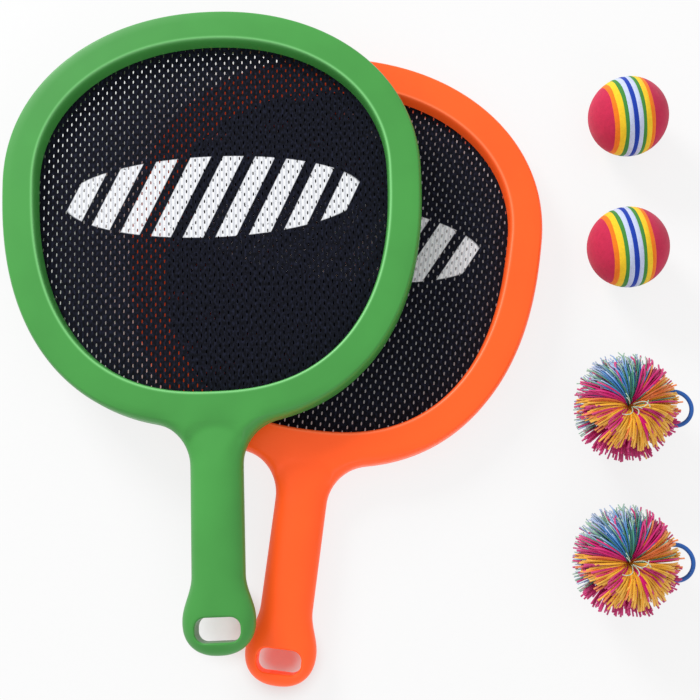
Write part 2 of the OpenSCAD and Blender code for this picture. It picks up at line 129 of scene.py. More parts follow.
# Foam balls
BALL_D = 42.0
SHEET_T = {"orange": 2.1, "yellow": 2.8, "green": 1.9, "white": 2.4, "blue": 2.3}
STACK_SHIFT = 1.9
BALL_TURN = 9.3
BALL_DIP = 0.3
BALL_PLACES = ((151.8, 119.7), (148.1, 47.3))
BALL_LAYERS = (
    "red_cap_left", "orange_left", "yellow_left", "green_left", "white_left", "blue_core",
    "white_right", "green_right", "yellow_right", "orange_right", "red_cap_right",
)
SEAM_DEPTH = 0.16
SEAM_W = 0.3
SEAM_WANDER = 0.09
BALL_COLUMNS = 96
CAP_ROWS = 28

# Strand balls. Strands stand in clumps, in a crown and a skirt with the lowest and highest tip in degrees. A
# clump's strands spread in turn and tilt, in radians. Blue and green strands are slim, and strays are thin.
TUFT_PLACES = ((141.7, -37.8), (137.9, -113.8))
TUFT_R = 27.0
TUFT_H = 46.0
TUFT_MID = TUFT_H / 2
STRAND_COLOURS = ("yellow", "magenta", "blue", "green", "orange")
STRAND_SEED = 11
STRAND_POINTS = 8
STRAND_SIDES = 5
STRAND_R = 0.5
BOLD_SHARE = 0.94
SLIM_SHARE = 0.64
STRAY_SHARE = 0.42
CROWN_CLUMPS = 130
CROWN_TIPS = (-2, 46)
SKIRT_CLUMPS = 150
SKIRT_TIPS = (-72, 10)
STRANDS_IN_CLUMP = 4
CLUMP_TURN = 0.09
CLUMP_TILT = 0.1
CLUMP_ALIKE = 0.75
BACK_MIX = 0.45
TUFT_SQUEEZE = 0.94
CROWN_LIFT = 31.0
CROWN_GATHER = 0.5
CROWN_STEEP = 80.0
SKIRT_STRETCH = 0.32
STRAYS = 7
STRAY_REACH = 7.5
STRAY_ROOT = TUFT_H - 9.0
FLOOR_ROOM = 0.1

# Shares of the five strand colours in sectors of the crown and of the skirt, with each sector's first degree
CROWN_SECTORS = (
    (-165, (0.5, 0.4, 0.0, 0.0, 0.1)),
    (-150, (0.74, 0.16, 0.0, 0.0, 0.1)),
    (-5, (0.6, 0.08, 0.0, 0.02, 0.3)),
    (15, (0.2, 0.08, 0.0, 0.06, 0.66)),
    (38, (0.0, 0.76, 0.08, 0.08, 0.08)),
    (66, (0.0, 0.1, 0.42, 0.48, 0.0)),
    (100, (0.0, 0.1, 0.6, 0.3, 0.0)),
    (150, (0.0, 0.8, 0.08, 0.12, 0.0)),
    (170, (0.3, 0.6, 0.0, 0.0, 0.1)),
)
SKIRT_SECTORS = (
    (-150, (0.06, 0.94, 0.0, 0.0, 0.0)),
    (-12, (0.6, 0.15, 0.0, 0.0, 0.25)),
    (25, (0.0, 0.5, 0.0, 0.25, 0.25)),
    (60, (0.0, 0.14, 0.66, 0.2, 0.0)),
    (150, (0.0, 0.25, 0.3, 0.45, 0.0)),
)

# Finger loops: their cord, the swing in degrees, and the room that strands leave for it
CORD_R = 1.1
CORD_SIDES = 20
CORD_SEAM_DEPTH = 0.02
CORD_SEAM_W = 0.12
LOOP_W = 19.4
LOOP_REACH = 34.6
LOOP_PIVOT_X = 8.0
LOOP_SWING = 20.0
LOOP_ROOM = 0.6

# Camera: where it stands, its lean back and its roll in degrees, and its lens
CAMERA_AT = (10.8, -107.7, 545.0)
CAMERA_LEAN = 10.886
CAMERA_ROLL = 0.831
CAMERA_LENS = 53.46
SENSOR_W = 36.0

# Floor: half its width, its drop below the set, its colours, and the share of it that shows as plain white,
# the rest being its real shade. The white is kept down under one head, and left out under both heads and
# under the hanging slots: fully within the first radius under the middle of each, and less and less to the
# second.
FLOOR_HALF_W = 3000.0
FLOOR_DROP = 0.2
FLOOR_DARK = (0.78, 0.78, 0.79)
FLOOR_LIGHT = (0.82, 0.82, 0.82)
FLOOR_GLOW = 0.8
HEAD_GLOW = 0.18
HEAD_SHADE = (92.0, 108.0)
SLOT_SHADE = (4.0, 24.0)

# Light: place and width of each square lamp in metres and its power in watts, and the strength of the world
KEY_LAMP = ((-0.9, 1.2, 0.9), 0.6, 22.0)
FILL_LAMP = ((0.5, -1.2, 0.9), 0.8, 3.0)
WORLD_STRENGTH = 0.68

# Mesh making: points closer than this are one, and edges sharper than this many degrees stay sharp
WELD_GAP = 0.002
SHARP_ANGLE = 40.0
FOAM_SHARP = 50.0


def srgb(r, g, b):
    """Linear colour of an sRGB colour in 0 to 255."""
    c = np.array([r, g, b]) / 255
    low, high = c / 12.92, ((c + 0.055) / 1.055) ** 2.4
    return tuple(float(v) for v in np.where(c <= 0.04045, low, high))


class Value:
    """A shader socket that can stand in a Python sum: each operation adds a Math node."""

    def __init__(self, paint, socket):
        self.paint = paint
        self.socket = socket

    def math(self, operation, *others):
        inputs = {i: v for i, v in enumerate((self, *others))}
        return self.paint.add("ShaderNodeMath", {"operation": operation}, inputs)

    def reflected(self, operation, other):
        return self.paint.add("ShaderNodeMath", {"operation": operation}, {0: other, 1: self})

    def __add__(self, other):
        return self.math("ADD", other)

    def __radd__(self, other):
        return self.reflected("ADD", other)

    def __sub__(self, other):
        return self.math("SUBTRACT", other)

    def __rsub__(self, other):
        return self.reflected("SUBTRACT", other)

    def __mul__(self, other):
        return self.math("MULTIPLY", other)

    def __rmul__(self, other):
        return self.reflected("MULTIPLY", other)

    def __truediv__(self, other):
        return self.math("DIVIDE", other)

    def __abs__(self):
        return self.math("ABSOLUTE")


class Paint:
    """A node material around one Principled shader."""

    def __init__(self, name):
        self.material = bpy.data.materials.new(name)
        self.material.use_nodes = True
        self.tree = self.material.node_tree
        self.shader = self.tree.nodes["Principled BSDF"]

    def add(self, kind, settings=None, inputs=None, out=0):
        """A node of any kind: its settings, then its sockets' values or links. Gives one output."""
        node = self.tree.nodes.new(kind)
        for key, value in (settings or {}).items():
            setattr(node, key, value)
        self.fill(node, inputs or {})
        return Value(self, node.outputs[out])

    def fill(self, node, inputs):
        """Sets or links a node's sockets, by number or name. A colour gets its alpha."""
        for key, value in inputs.items():
            if isinstance(value, Value):
                self.tree.links.new(value.socket, node.inputs[key])
            elif isinstance(value, tuple) and len(value) == 3 and node.inputs[key].type == "RGBA":
                node.inputs[key].default_value = (*value, 1.0)
            else:
                node.inputs[key].default_value = value

    def surface(self, **inputs):
        """Values or links of the Principled shader, with spaces of its socket names as underscores."""
        self.fill(self.shader, {key.replace("_", " "): value for key, value in inputs.items()})

    def place(self):
        return self.add("ShaderNodeTexCoord", out="Object")

    def noise(self, vector, scale, detail=2.0, roughness=0.5):
        inputs = {"Vector": vector, "Scale": scale, "Detail": detail, "Roughness": roughness}
        return self.add("ShaderNodeTexNoise", inputs=inputs)

    def cells(self, vector, scale):
        return self.add("ShaderNodeTexVoronoi", inputs={"Vector": vector, "Scale": scale})

    def stretch(self, vector, scale):
        return self.add("ShaderNodeMapping", inputs={"Vector": vector, "Scale": scale})

    def step(self, value, low, high):
        """0 below low, 1 above high, smooth between."""
        inputs = {"Value": value, "From Min": low, "From Max": high}
        return self.add("ShaderNodeMapRange", {"interpolation_type": "SMOOTHSTEP"}, inputs)

    def mix(self, a, b, share):
        """Colour a where share is 0 and b where it is 1."""
        return self.add("ShaderNodeMix", {"data_type": "RGBA"}, {0: share, 6: a, 7: b}, out=2)

    def attribute(self, name):
        return self.add("ShaderNodeAttribute", {"attribute_name": name}, out="Fac")

    def bump(self, height, depth_mm, strength=1.0):
        inputs = {"Height": height, "Distance": depth_mm * MM, "Strength": strength}
        return self.add("ShaderNodeBump", inputs=inputs, out="Normal")


def shade(colour, k):
    """A colour made k times as light."""
    return tuple(min(1.0, c * k) for c in colour)


def plastic(name, colour, crest_highlight_share, glow):
    """Satin moulded plastic: faint clouding in the colour, a fine moulded grain, a painted highlight that
    pales the colour along the top of the rim's inner slope, and a few hairline scuffs that dull the gloss.
    glow is the strength of a painted glow in the plastic's own colour, which keeps a dayglo pigment bright
    in shade."""
    p = Paint(name)
    place = p.place()
    cloud = p.noise(place, scale=22.0, detail=3.0)
    grain = p.noise(place, scale=2600.0)
    scuff = p.noise(p.stretch(place, (60.0, 1400.0, 60.0)), scale=1.0, detail=3.0, roughness=0.6)
    scratch = p.step(scuff, 0.66, 0.72)
    # Painted highlight: the colour pales along the top of the rim's inner slope, by the attribute that marks
    # it
    crest_highlight = p.attribute("crest_highlight")
    body = p.mix(shade(colour, 0.94), shade(colour, 1.05), p.step(cloud, 0.3, 0.7))
    pale = tuple(min(1.0, 1.7 * c + 0.14) for c in colour)
    p.surface(
        Base_Color=p.mix(body, pale, crest_highlight * crest_highlight_share),
        Roughness=0.33 + 0.08 * grain + 0.12 * scratch,
        Normal=p.bump(grain + 0.25 * scratch, depth_mm=0.02, strength=0.4),
        Specular_IOR_Level=0.3,
        # Painted glow: the plastic shines in its own colour, so that it stays bright in shade
        Emission_Color=colour,
        Emission_Strength=glow,
    )
    return p.material


def print_mask(p, x, y):
    """1 on the print and 0 beside it, from the sheet's own plan in millimetres: slanted stripes at an even
    step, trimmed to an oval."""
    y = y - PRINT_Y
    u = x - STRIPE_SLANT * y
    off_middle = abs((u + 0.5 * STRIPE_STEP).math("FLOORED_MODULO", STRIPE_STEP) - 0.5 * STRIPE_STEP)
    stripe = off_middle / math.hypot(1.0, STRIPE_SLANT) - STRIPE_W / 2
    across, along = x / (PRINT_W / 2), y / (PRINT_H / 2)
    oval = ((across * across + along * along).math("SQRT") - 1.0) * (PRINT_H / 2)
    return 1.0 - p.step(stripe.math("MAXIMUM", oval), -PRINT_EDGE, PRINT_EDGE)


def mesh_cloth():
    """Dark knitted mesh: ribs beside the slits, a fleck of lighter yarn, and on the front a white print worn
    thin in specks. Yarn and print are painted darker between the ribs, as painted shade in the knit's
    valleys."""
    p = Paint("mesh_cloth")
    plan = p.add("ShaderNodeUVMap", {"uv_map": "cut"})
    parts = p.add("ShaderNodeSeparateXYZ", inputs={0: plan}).socket.node.outputs
    x, y = (Value(p, parts[axis]) * (1 / MM) for axis in "XY")
    rib = (x * (4 * math.pi / WEAVE_COLUMN)).math("COSINE") * 0.5 + 0.5
    loop = (y * (8 * math.pi / WEAVE_ROW)).math("SINE") * 0.5 + 0.5
    fleck = p.noise(p.stretch(plan, (900.0, 500.0, 1.0)), scale=1.0)
    # Painted shade: the yarn's lighter fleck keeps mostly to the tops of the ribs, and the yarn is darker
    # between them
    yarn = p.mix(srgb(14, 15, 21), srgb(34, 37, 54), p.step(fleck, 0.35, 0.75) * (0.45 + 0.55 * rib))
    worn = p.step(p.noise(p.stretch(plan, (700.0, 700.0, 1.0)), scale=1.0), 0.24, 0.36)
    ink = print_mask(p, x, y) * worn * p.attribute("front")
    # Painted shade: the print is darker between the ribs
    white = p.mix(srgb(206, 208, 214), srgb(244, 245, 248), rib)
    p.surface(
        Base_Color=p.mix(yarn, white, ink),
        Roughness=0.8 - 0.12 * ink,
        Normal=p.bump(rib * 0.6 + loop * 0.4, depth_mm=0.12, strength=0.6),
        Specular_IOR_Level=0.06,
    )
    return p.material


def foam(name, colour):
    """Matt closed-cell foam: cut cells as fine pits, painted darker in the pits as painted shade, and a
    mottle in the colour.
    """
    p = Paint(name)
    place = p.place()
    cell = p.cells(place, scale=2300.0)
    fine = p.noise(place, scale=5200.0)
    mottle = p.noise(place, scale=420.0, detail=3.0)
    tint = p.mix(shade(colour, 0.94), shade(colour, 1.05), p.step(mottle, 0.25, 0.75))
    p.surface(
        # Painted shade: the colour is darker in the pits, where the bump is lowest
        Base_Color=p.mix(tint, shade(colour, 0.72), p.step(cell, 0.55, 0.95) * 0.5),
        Roughness=0.86 + 0.1 * fine,
        Normal=p.bump(fine * 0.5 - cell, depth_mm=0.06, strength=0.6),
        Specular_IOR_Level=0.2,
        Sheen_Weight=0.12,
    )
    return p.material


def strand_rubber(name, colour, tip):
    """Soft rubber cut in strands: each strand has its own tone, the ends turn paler, partly as cut ends and
    partly as a painted highlight where the tips catch the light, and loose strays, which are marked as past
    the end, are pale all over."""
    p = Paint(name)
    tone = p.attribute("tone")
    along = p.attribute("along")
    body = p.mix(shade(colour, 0.6), shade(colour, 1.2), tone)
    # Paler towards the tips, partly cut ends and partly a painted highlight; strays pale all over
    pale = p.step(along, 0.66, 1.0) * 0.6 + p.step(along, 1.2, 1.8) * 0.3
    p.surface(
        Base_Color=p.mix(body, tip, pale),
        Roughness=0.46 + 0.1 * tone,
        Normal=p.bump(p.noise(p.place(), scale=1800.0), depth_mm=0.05, strength=0.5),
        Specular_IOR_Level=0.4,
    )
    return p.material


def plain_rubber(name, colour, roughness):
    """Smooth rubber with a faint cloud in its gloss."""
    p = Paint(name)
    cloud = p.noise(p.place(), scale=260.0)
    p.surface(
        Base_Color=p.mix(shade(colour, 0.9), shade(colour, 1.08), cloud),
        Roughness=roughness + 0.1 * cloud,
        Normal=p.bump(p.noise(p.place(), scale=2400.0), depth_mm=0.02, strength=0.4),
    )
    return p.material


def steel(name):
    """Plated steel of small screws, with turned rings worn in."""
    p = Paint(name)
    brush = p.noise(p.stretch(p.place(), (900.0, 9000.0, 900.0)), scale=1.0)
    p.surface(
        Base_Color=p.mix(srgb(150, 152, 156), srgb(205, 206, 208), brush),
        Metallic=1.0,
        Roughness=0.28 + 0.2 * brush,
    )
    return p.material


# The shares are how strongly the painted highlight pales each rim's inner edge
GREEN_PLASTIC = plastic("green_plastic", srgb(71, 154, 70), crest_highlight_share=0.8, glow=0.0)
# The orange glows as painted light, which keeps it bright in shade like a dayglo pigment
ORANGE_PLASTIC = plastic("orange_plastic", srgb(255, 90, 30), crest_highlight_share=0.45, glow=0.24)
MESH_CLOTH = mesh_cloth()
FOAMS = {
    "red": foam("red_foam", srgb(200, 42, 80)),
    "orange": foam("orange_foam", srgb(245, 126, 30)),
    "yellow": foam("yellow_foam", srgb(246, 205, 44)),
    "green": foam("green_foam", srgb(70, 140, 62)),
    "white": foam("white_foam", srgb(198, 208, 236)),
    "blue": foam("blue_foam", srgb(28, 62, 172)),
}
# The second colour of each is its tip's: partly a cut end, partly a painted highlight
STRAND_RUBBERS = {
    "yellow": strand_rubber("yellow_strands", srgb(242, 172, 48), srgb(255, 205, 100)),
    "magenta": strand_rubber("magenta_strands", srgb(205, 16, 112), srgb(225, 90, 150)),
    "blue": strand_rubber("blue_strands", srgb(70, 138, 204), srgb(225, 235, 250)),
    "green": strand_rubber("green_strands", srgb(66, 142, 116), srgb(200, 228, 208)),
    "orange": strand_rubber("orange_strands", srgb(240, 120, 52), srgb(255, 170, 110)),
}
LOOP_RUBBER = plain_rubber("loop_rubber", srgb(24, 92, 176), roughness=0.42)


def finish_mesh(name, points, faces, material, sharp=SHARP_ANGLE, values=None, cut=None, weld=True):
    """A mesh piece at the origin, from points in millimetres and arrays of equal-sided faces. Where weld is
    set, doubles are merged and the faces turned outwards. values are point attributes, and cut is a UV for
    each point."""
    mesh = bpy.data.meshes.new(name)
    corners = np.concatenate([f.ravel() for f in faces])
    sizes = np.concatenate([np.full(len(f), f.shape[1]) for f in faces])
    mesh.vertices.add(len(points))
    mesh.vertices.foreach_set("co", (points * MM).astype(np.float32).ravel())
    mesh.loops.add(len(corners))
    mesh.loops.foreach_set("vertex_index", corners.astype(np.int32))
    mesh.polygons.add(len(sizes))
    mesh.polygons.foreach_set("loop_start", (np.cumsum(sizes) - sizes).astype(np.int32))
    mesh.update(calc_edges=True)
    for key, data in (values or {}).items():
        layer = mesh.attributes.new(key, "FLOAT", "POINT")
        layer.data.foreach_set("value", data.astype(np.float32))
    if cut is not None:
        layer = mesh.uv_layers.new(name="cut")
        layer.data.foreach_set("uv", cut[corners].astype(np.float32).ravel())
    if weld:
        work = bmesh.new()
        work.from_mesh(mesh)
        bmesh.ops.remove_doubles(work, verts=work.verts, dist=WELD_GAP * MM)
        bmesh.ops.dissolve_degenerate(work, edges=work.edges, dist=WELD_GAP / 2 * MM)
        bmesh.ops.recalc_face_normals(work, faces=work.faces)
        work.to_mesh(mesh)
        work.free()
    mesh.polygons.foreach_set("use_smooth", np.ones(len(mesh.polygons), dtype=bool))
    mesh.set_sharp_from_angle(angle=math.radians(sharp))
    if material:
        mesh.materials.append(material)
    piece = bpy.data.objects.new(name, mesh)
    bpy.context.scene.collection.objects.link(piece)
    return piece


def grid_faces(rows, columns, closed=False, first=0):
    """Four-cornered faces of a grid of points that is numbered row by row."""
    i = np.arange(rows - 1)[:, None]
    j = np.arange(columns if closed else columns - 1)[None, :]
    k = (j + 1) % columns
    quads = np.stack(np.broadcast_arrays(i * columns + j, i * columns + k, (i + 1) * columns + k,
                                         (i + 1) * columns + j), axis=-1)
    return quads.reshape(-1, 4) + first


class Patchwork:
    """Grids of points that are joined into one mesh."""

    def __init__(self):
        self.points = []
        self.faces = []
        self.values = []
        self.count = 0

    def grid(self, points, closed=False, value=None):
        """Adds a grid of points. value is a mark for each point or row, 0 if left out."""
        rows, columns = points.shape[:2]
        self.faces.append(grid_faces(rows, columns, closed, self.count))
        self.points.append(points.reshape(-1, 3))
        marks = np.zeros((rows, columns)) if value is None else np.broadcast_to(value, (rows, columns))
        self.values.append(marks.ravel())
        self.count += rows * columns

    def arrays(self):
        """All points, the face arrays and all marks."""
        return np.concatenate(self.points), self.faces, np.concatenate(self.values)


def head_terms(t):
    """Half height and squareness of the head's outline at angles t."""
    up = np.sin(t) >= 0
    return np.where(up, HEAD_RISE, HEAD_DROP), np.where(up, RISE_POWER, DROP_POWER)


def head_inset(t, d):
    """Head outline moved in by d: a superellipse x = a cos^(2/n), y = b sin^(2/n), less d on its normal."""
    t = np.asarray(t, dtype=float)
    height, power = head_terms(t)
    c, s = np.cos(t), np.sin(t)
    half = HEAD_W / 2
    x = half * np.sign(c) * np.abs(c) ** (2 / power)
    y = height * np.sign(s) * np.abs(s) ** (2 / power)
    nx = np.sign(c) * np.abs(c) ** (2 - 2 / power) / half
    ny = np.sign(s) * np.abs(s) ** (2 - 2 / power) / height
    length = np.hypot(nx, ny)
    return np.stack([x - d * nx / length, y - d * ny / length], axis=-1)


NECK_SEARCH = (-88, -30)
NECK_HALVINGS = 40


def neck_angle():
    """Angle on the head at which the neck fillet touches it: the fillet's centre is one fillet radius beside
    the handle, found by halving."""
    low, high = (math.radians(v) for v in NECK_SEARCH)
    for _ in range(NECK_HALVINGS):
        mid = (low + high) / 2
        if head_inset(mid, -NECK_R)[0] > HANDLE_W / 2 + NECK_R:
            high = mid
        else:
            low = mid
    return (low + high) / 2


# Steps of the frame's grids: round the head and across the rim's rounds, down the handle, and at the slot
HEAD_N = 220
ROUND_N = 10
FLAT_N = 4
CROSS_N = 28
FILLET_N = 18
SHAFT_N = 22
FLARE_N = 16
END_N = 24
BULB_N = 18
SLOT_CORNER_N = 24
SLOT_SIDE_N = 12
SLOT_ROUND_N = 6
SLOT_WALL_N = 5
NECK_T = neck_angle()
NECK_C = head_inset(NECK_T, -NECK_R)
NECK_TOUCH = head_inset(NECK_T, 0)
NECK_FROM = math.atan2(*(NECK_TOUCH - NECK_C)[::-1])
HANDLE_END_Y = HEAD_RISE - RACKET_L
BULB_MID_Y = HANDLE_END_Y + BULB_END_L
FLARE_TOP_Y = BULB_MID_Y + FLARE_L
SLOT_Y = HANDLE_END_Y + SLOT_FROM_END


def ease(k):
    """Smooth step from 0 to 1: half a cosine."""
    return (1 - np.cos(np.pi * np.clip(k, 0, 1))) / 2


def side_outline(inset):
    """Right-hand outline of neck, handle and bulb moved in by inset: fillet arc, straight, flare on half a
    cosine, and a superelliptic end."""
    a = np.linspace(NECK_FROM, math.pi, FILLET_N + 1)
    fillet = NECK_C + (NECK_R + inset) * np.stack([np.cos(a), np.sin(a)], axis=-1)
    k = np.linspace(0, 1, SHAFT_N + 1)[1:]
    half = HANDLE_W / 2 - inset
    shaft = np.stack([np.full(SHAFT_N, half), NECK_C[1] + (FLARE_TOP_Y - NECK_C[1]) * k], axis=-1)
    k = np.linspace(0, 1, FLARE_N + 1)[1:]
    flare = np.stack([half + (BULB_W - HANDLE_W) / 2 * ease(k), FLARE_TOP_Y - FLARE_L * k], axis=-1)
    k = np.sin(np.linspace(0, np.pi / 2, END_N + 1)[1:])
    width = (1 - k ** BULB_POWER).clip(0) ** (1 / BULB_POWER)
    end = np.stack([(BULB_W / 2 - inset) * width, BULB_MID_Y - (BULB_END_L - inset) * k], axis=-1)
    return np.concatenate([fillet, shaft, flare, end])


def edge_distance(p, outline):
    """Distance of points from an outline, taken on the right-hand side."""
    q = np.stack([np.abs(p[..., 0]), p[..., 1]], axis=-1)[..., None, :]
    a, ab = outline[:-1], np.diff(outline, axis=0)
    k = (((q - a) * ab).sum(-1) / (ab * ab).sum(-1)).clip(0, 1)
    return np.linalg.norm(q - a - k[..., None] * ab, axis=-1).min(-1)


def handle_share(y):
    """0 on the rim and 1 on the handle, easing down the neck."""
    return ease((RIM_W - HEAD_DROP - y) / NECK_BLEND_L)


def edge_round(inset):
    """Radius of the rim's outer edge on a skin that is inset."""
    return max(SHELL_WALL / 4, RIM_EDGE_R - inset)


def edge_height(d, y, inset):
    """Height over the parting plane at distance d in from the outer edge: a straight wall, then a round."""
    share = handle_share(y)
    r = edge_round(inset) + (HANDLE_W / 2 - inset - edge_round(inset)) * share
    k = 1 - np.minimum(1, d / r)
    straight = RIM_WALL_SHARE + (HANDLE_WALL_SHARE - RIM_WALL_SHARE) * share
    return (FRAME_T / 2 - inset) * (straight + (1 - straight) * np.sqrt(1 - k * k))


def shoulder_dip(p, d):
    """Depth of the hollow where the handle starts, at plan points p and distance d from the edge: full on
    the arch, a straight ramp below it, an eased rise to the neck above it, and none at the edge."""
    across = np.minimum(1, np.abs(p[..., 0]) / (SHOULDER_W / 2))
    fall = SHOULDER_FALL * (1 - np.sqrt(1 - across ** 2))
    below = -HEAD_DROP - SHOULDER_FROM - fall - p[..., 1]
    ramp = (1 - np.maximum(0, below) / (SHOULDER_L - fall)).clip(0, 1)
    return SHOULDER_DIP * ramp * (1 - ease(-below / NECK_DIP_L)) * ease(d / SHOULDER_EDGE)


def slope_height(d, inset):
    """Height at distance d out from the opening: a superelliptic slope from the slit to the top."""
    k = 1 - np.minimum(1, d / RIM_SLOPE_W)
    return SLIT_HALF + (FRAME_T / 2 - inset - SLIT_HALF) * (1 - k ** SLOPE_POWER) ** (1 / SLOPE_POWER)


def lower_angle(x):
    """Angle on the head's lower outline at which its half width is x."""
    return -np.arccos((x / (HEAD_W / 2)) ** (DROP_POWER / 2))


OVER_TOP = np.linspace(NECK_T, math.pi - NECK_T, HEAD_N + 1)
ACROSS = -np.cos(np.pi * np.arange(CROSS_N + 1) / CROSS_N)
NECK_T_ALL = np.where(ACROSS > 0, lower_angle(np.abs(ACROSS) * NECK_TOUCH[0]) + 2 * math.pi,
                      math.pi - lower_angle(np.abs(ACROSS) * NECK_TOUCH[0]))
AROUND = np.concatenate([OVER_TOP, NECK_T_ALL[1:-1]])


def ring_distances(inset):
    """Rows across the rim, from the outer edge: close on the outer round and on the inner slope."""
    a = np.linspace(0, np.pi / 2, ROUND_N)
    outer = edge_round(inset) * (1 - np.cos(a))
    width = RIM_W - 2 * inset
    inner = width - RIM_SLOPE_W * (1 - np.sin(a).clip(0, 1) ** (2 / SLOPE_POWER))
    inner[-1] = width
    flat = np.linspace(outer[-1], inner[0] - CREST_W, FLAT_N)[1:]
    # Two rows near the top of the inner slope, to carry the narrow painted highlight
    crest_highlight = inner[0] - CREST_W * np.array([0.7, 0.4])
    return np.concatenate([outer, flat, crest_highlight, inner])


def ring_grid(inset):
    """The rim's skin, rows across it and columns round the head: the lower of the outer edge's height and
    the inner slope's. Gives its points and how near each is to the top of the inner slope, where the plastic
    gets a painted highlight."""
    ds = ring_distances(inset)
    p = np.stack([head_inset(AROUND, inset + d) for d in ds])
    far = np.broadcast_to(ds[:, None], p.shape[:2]).copy()
    far[:, HEAD_N + 1:] = edge_distance(p[:, HEAD_N + 1:], side_outline(inset))
    near = (RIM_W - 2 * inset - ds)[:, None]
    top = edge_height(far, p[..., 1], inset) - shoulder_dip(p, far)
    z = np.minimum(top, slope_height(near, inset))
    # Weight of the painted highlight, greatest along the top of the inner slope
    crest_highlight = np.exp(-((near - CREST_AT) / (CREST_W / 2)) ** 2)
    return np.concatenate([p, z[..., None]], axis=-1), crest_highlight


def handle_grid(inset):
    """Skin of neck and handle: row 0 is the head's own arc between the fillets, later rows straighten."""
    outline = side_outline(inset)
    rows = outline[1:FILLET_N + SHAFT_N + 1]
    arc = head_inset(NECK_T_ALL, inset)
    sag = (arc[:, 1] - arc[0, 1]) * np.maximum(0, 1 - np.arange(1, len(rows) + 1) / FILLET_N)[:, None]
    p = np.stack([rows[:, :1] * ACROSS, rows[:, 1:] + sag], axis=-1)
    p = np.concatenate([arc[None], p])
    d = edge_distance(p, outline)
    z = edge_height(d, p[..., 1], inset) - shoulder_dip(p, d)
    return np.concatenate([p, z[..., None]], axis=-1)


def slot_point(angle, grow):
    """Edge of the hanging slot, a rounded rectangle grown by grow, in the direction of each angle."""
    a = np.linspace(0, np.pi / 2, SLOT_CORNER_N)
    r = SLOT_CORNER_R + grow
    corner = np.array([SLOT_L / 2 - SLOT_CORNER_R, SLOT_W / 2 - SLOT_CORNER_R])
    quarter = corner + r * np.stack([np.cos(a), np.sin(a)], axis=-1)
    rim = np.concatenate([quarter, quarter[::-1] * (-1, 1), -quarter, quarter[::-1] * (1, -1)])
    k = np.linspace(0, 1, SLOT_SIDE_N)[:, None]
    following = np.roll(rim, -1, axis=0)
    rim = (rim[:, None] + k * (following - rim)[:, None]).reshape(-1, 2)
    turn = np.arctan2(rim[:, 1], rim[:, 0])
    order = np.argsort(turn)
    radius = np.interp(angle, turn[order], np.hypot(*rim.T)[order], period=2 * np.pi)
    return np.stack([radius * np.cos(angle), SLOT_Y + radius * np.sin(angle)], axis=-1)


def bulb_grid(inset):
    """Skin between the hanging slot and the bulb's edge, on rays from the slot, and the slot's own wall."""
    outline = side_outline(inset)
    top = outline[FILLET_N + SHAFT_N]
    side = outline[FILLET_N + SHAFT_N + 1:]
    row = np.stack([top[0] * ACROSS, np.full(CROSS_N + 1, top[1])], axis=-1)
    rim = np.concatenate([row, side, side[-2::-1] * (-1, 1)])
    angle = np.arctan2(rim[:, 1] - SLOT_Y, rim[:, 0])
    slot = slot_point(angle, inset)
    ray = rim - slot
    length = np.linalg.norm(ray, axis=-1)
    edge = SLOT_EDGE_R if inset == 0 else SLOT_EDGE_R / 4
    a = np.linspace(0, np.pi / 2, SLOT_ROUND_N)
    near = edge * (1 - np.cos(a))[:, None] / length
    start = (edge / length)[None]
    k = np.sin(np.linspace(0, np.pi / 2, BULB_N)[1:, None])
    share = np.concatenate([near, start + (1 - start) * k])
    p = slot + share[..., None] * ray
    d = share * length
    drop = edge - np.sqrt(np.maximum(0, edge ** 2 - (edge - np.minimum(d, edge)) ** 2))
    z = edge_height(edge_distance(p, outline), p[..., 1], inset) - drop
    skin = np.concatenate([p, z[..., None]], axis=-1)
    x, y, z = skin[0].T
    k = np.linspace(1, 0, SLOT_WALL_N)[:, None]
    wall = np.stack(np.broadcast_arrays(x, y, PARTING_GAP + (z - PARTING_GAP) * k), axis=-1)
    return skin, wall


def rim_loop(inset):
    """Closed outline of the whole racket moved in by inset, in plan."""
    side = side_outline(inset)[1:]
    return np.concatenate([head_inset(OVER_TOP, inset), side * (-1, 1), side[-2::-1]])


def add_skin(work, inset):
    """Adds one skin of a moulded half, and gives its loops on the parting plane, the slit and the slot."""
    ring, crest_highlight = ring_grid(inset)
    handle = handle_grid(inset)
    bulb, slot_wall = bulb_grid(inset)
    work.grid(ring, closed=True, value=crest_highlight)
    work.grid(handle)
    work.grid(bulb, closed=True)
    work.grid(slot_wall, closed=True)
    plan = rim_loop(inset)
    top = edge_height(np.zeros(len(plan)), plan[:, 1], inset)
    chamfer = PARTING_CHAMFER if inset == 0 else 0.0
    foot_plan = rim_loop(inset + chamfer)
    foot = np.insert(foot_plan, 2, PARTING_GAP, axis=1)
    wall = [np.insert(plan, 2, height, axis=1) for height in (top, top / 2, PARTING_LIP)]
    work.grid(np.stack([*wall, foot]), closed=True)
    return foot, ring[-1], slot_wall[-1]


def moulded_half(name, place, back, material):
    """One half of a racket's frame: an outer and an inner skin, joined on the parting plane, along the slit
    and round the slot. The back half is the front one turned over."""
    work = Patchwork()
    outer = add_skin(work, 0.0)
    inner = add_skin(work, SHELL_WALL)
    for a, b in zip(outer, inner):
        work.grid(np.stack([a, b]), closed=True)
    points, faces, crest_highlight = work.arrays()
    if back:
        points = points * (1, 1, -1)
    return finish_mesh(name, placed(points, place), faces, material, values={"crest_highlight": crest_highlight})


def placed(points, place):
    """Points of a racket's own frame, turned and moved to its place."""
    x, y, z, turn = place
    c, s = math.cos(math.radians(turn)), math.sin(math.radians(turn))
    px, py = points[:, 0], points[:, 1]
    return np.stack([x + c * px - s * py, y + s * px + c * py, z + points[:, 2]], axis=-1)


